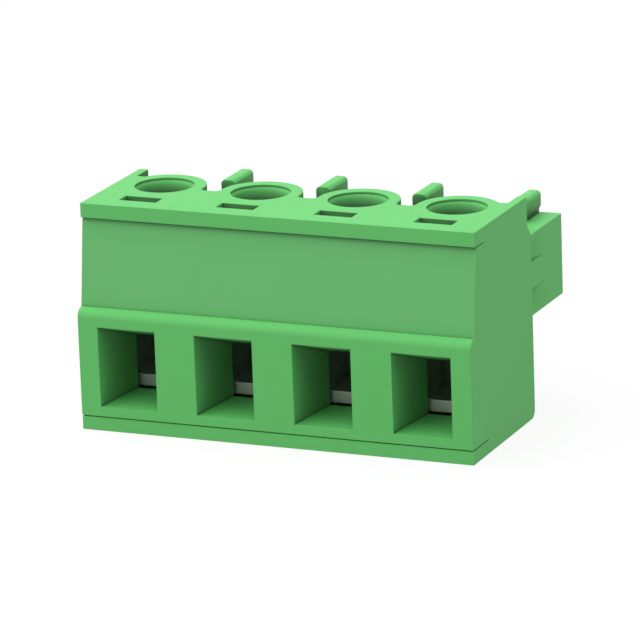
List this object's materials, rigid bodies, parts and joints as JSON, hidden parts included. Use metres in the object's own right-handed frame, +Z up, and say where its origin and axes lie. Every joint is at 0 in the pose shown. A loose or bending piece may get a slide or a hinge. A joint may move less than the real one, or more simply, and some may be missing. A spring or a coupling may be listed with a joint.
{
  "type": "pluggable terminal block",
  "caption": "Pluggable screw terminal block: tapered wire entries in front, screwdriver holes in round bosses on top, and a ribbed mating block behind.",
  "frame": {"origin": "centre of the bounding box at the flat underside", "axes": "+X along the row of poles, +Y towards the mating side, +Z up towards the screw holes"},
  "size_m": [0.0204, 0.0124, 0.0111],
  "materials": {
    "housing": "satin green moulded polyamide",
    "cover": "satin green moulded polyamide",
    "screw": "zinc plated steel",
    "cage": "nickel plated steel",
    "contact": "tin plated bronze"
  },
  "bodies": {
    "plug": {"main_housing": "housing", "front_cover": "cover", "contact_1": "contact", "contact_2": "contact", "contact_3": "contact", "contact_4": "contact"},
    "screw_1": {"clamp_screw_1": "screw"},
    "cage_1": {"clamp_cage_1": "cage"},
    "screw_2": {"clamp_screw_2": "screw"},
    "cage_2": {"clamp_cage_2": "cage"},
    "screw_3": {"clamp_screw_3": "screw"},
    "cage_3": {"clamp_cage_3": "cage"},
    "screw_4": {"clamp_screw_4": "screw"},
    "cage_4": {"clamp_cage_4": "cage"}
  },
  "joints": [
    {"name": "screw_1_turn", "type": "hinge", "parent": "plug", "child": "screw_1", "pos_m": [-0.00762, -0.00104, 0.0095], "axis": [0, 0, -1], "range_deg": [-594, 1836]},
    {"name": "cage_1_lift", "type": "slide", "parent": "plug", "child": "cage_1", "axis": [0, 0, 1], "range_m": [-0.00066, 0.00204]},
    {"name": "screw_2_turn", "type": "hinge", "parent": "plug", "child": "screw_2", "pos_m": [-0.00254, -0.00104, 0.0095], "axis": [0, 0, -1], "range_deg": [-594, 1836]},
    {"name": "cage_2_lift", "type": "slide", "parent": "plug", "child": "cage_2", "axis": [0, 0, 1], "range_m": [-0.00066, 0.00204]},
    {"name": "screw_3_turn", "type": "hinge", "parent": "plug", "child": "screw_3", "pos_m": [0.00254, -0.00104, 0.0095], "axis": [0, 0, -1], "range_deg": [-594, 1836]},
    {"name": "cage_3_lift", "type": "slide", "parent": "plug", "child": "cage_3", "axis": [0, 0, 1], "range_m": [-0.00066, 0.00204]},
    {"name": "screw_4_turn", "type": "hinge", "parent": "plug", "child": "screw_4", "pos_m": [0.00762, -0.00104, 0.0095], "axis": [0, 0, -1], "range_deg": [-594, 1836]},
    {"name": "cage_4_lift", "type": "slide", "parent": "plug", "child": "cage_4", "axis": [0, 0, 1], "range_m": [-0.00066, 0.00204]}
  ],
  "couplings": [
    {"joint": "screw_1_turn", "follows": "cage_1_lift", "rad_per_m": 15708},
    {"joint": "screw_2_turn", "follows": "cage_2_lift", "rad_per_m": 15708},
    {"joint": "screw_3_turn", "follows": "cage_3_lift", "rad_per_m": 15708},
    {"joint": "screw_4_turn", "follows": "cage_4_lift", "rad_per_m": 15708}
  ]
}
